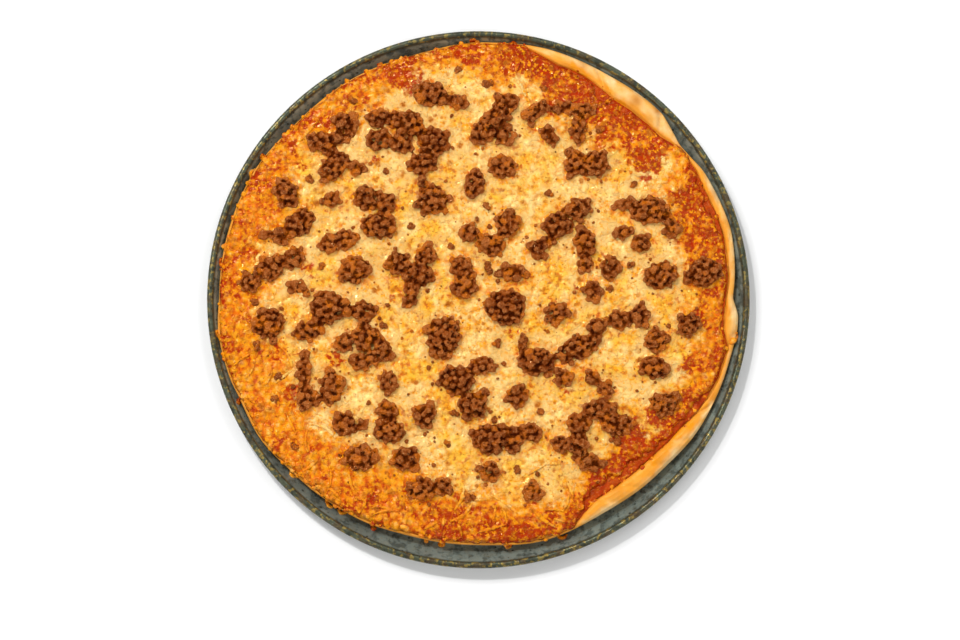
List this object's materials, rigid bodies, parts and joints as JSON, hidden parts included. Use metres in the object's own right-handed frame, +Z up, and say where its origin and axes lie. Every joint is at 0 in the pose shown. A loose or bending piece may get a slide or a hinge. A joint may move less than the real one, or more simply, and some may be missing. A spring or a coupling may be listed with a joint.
{
  "type": "pan pizza",
  "caption": "Round pan pizza with tomato sauce, melted cheese and clumps of cooked ground meat, in its shallow dark steel pan with a rolled rim.",
  "frame": {"origin": "centre of the pan's underside, on the surface that the pan stands on", "axes": "+Z up out of the pan; +X to the right of the shown view; -Y towards the viewer"},
  "size_m": [0.356, 0.356, 0.0224],
  "materials": {
    "pan_steel": "dark seasoned steel, semi-gloss, with baked-on oil specks and scratches",
    "baked_crust": "baked dough, pale gold, matt with an oily sheen",
    "tomato_sauce": "cooked tomato sauce, deep red to orange, glossy",
    "melted_cheese": "melted cheese, cream to gold with browned spots, oily gloss",
    "ground_meat": "cooked ground meat, brown, rough with an oily gloss"
  },
  "bodies": {
    "root": {"cheese": "melted_cheese", "crust": "baked_crust", "meat_01": "ground_meat", "meat_02": "ground_meat", "meat_03": "ground_meat", "meat_04": "ground_meat", "meat_05": "ground_meat", "meat_06": "ground_meat", "meat_07": "ground_meat", "meat_08": "ground_meat", "meat_09": "ground_meat", "meat_10": "ground_meat", "meat_11": "ground_meat", "meat_12": "ground_meat", "meat_13": "ground_meat", "meat_14": "ground_meat", "meat_15": "ground_meat", "meat_16": "ground_meat", "meat_17": "ground_meat", "meat_18": "ground_meat", "meat_19": "ground_meat", "meat_20": "ground_meat", "meat_21": "ground_meat", "meat_22": "ground_meat", "meat_23": "ground_meat", "meat_24": "ground_meat", "meat_25": "ground_meat", "meat_26": "ground_meat", "meat_27": "ground_meat", "meat_28": "ground_meat", "meat_29": "ground_meat", "meat_30": "ground_meat", "meat_31": "ground_meat", "meat_32": "ground_meat", "meat_33": "ground_meat", "meat_34": "ground_meat", "meat_35": "ground_meat", "meat_36": "ground_meat", "meat_37": "ground_meat", "meat_38": "ground_meat", "meat_39": "ground_meat", "meat_40": "ground_meat", "meat_41": "ground_meat", "meat_42": "ground_meat", "meat_43": "ground_meat", "meat_44": "ground_meat", "meat_45": "ground_meat", "meat_46": "ground_meat", "meat_47": "ground_meat", "meat_48": "ground_meat", "meat_49": "ground_meat", "meat_50": "ground_meat", "meat_51": "ground_meat", "meat_52": "ground_meat", "meat_53": "ground_meat", "meat_54": "ground_meat", "meat_55": "ground_meat", "pan": "pan_steel", "sauce": "tomato_sauce"}
  },
  "joints": []
}
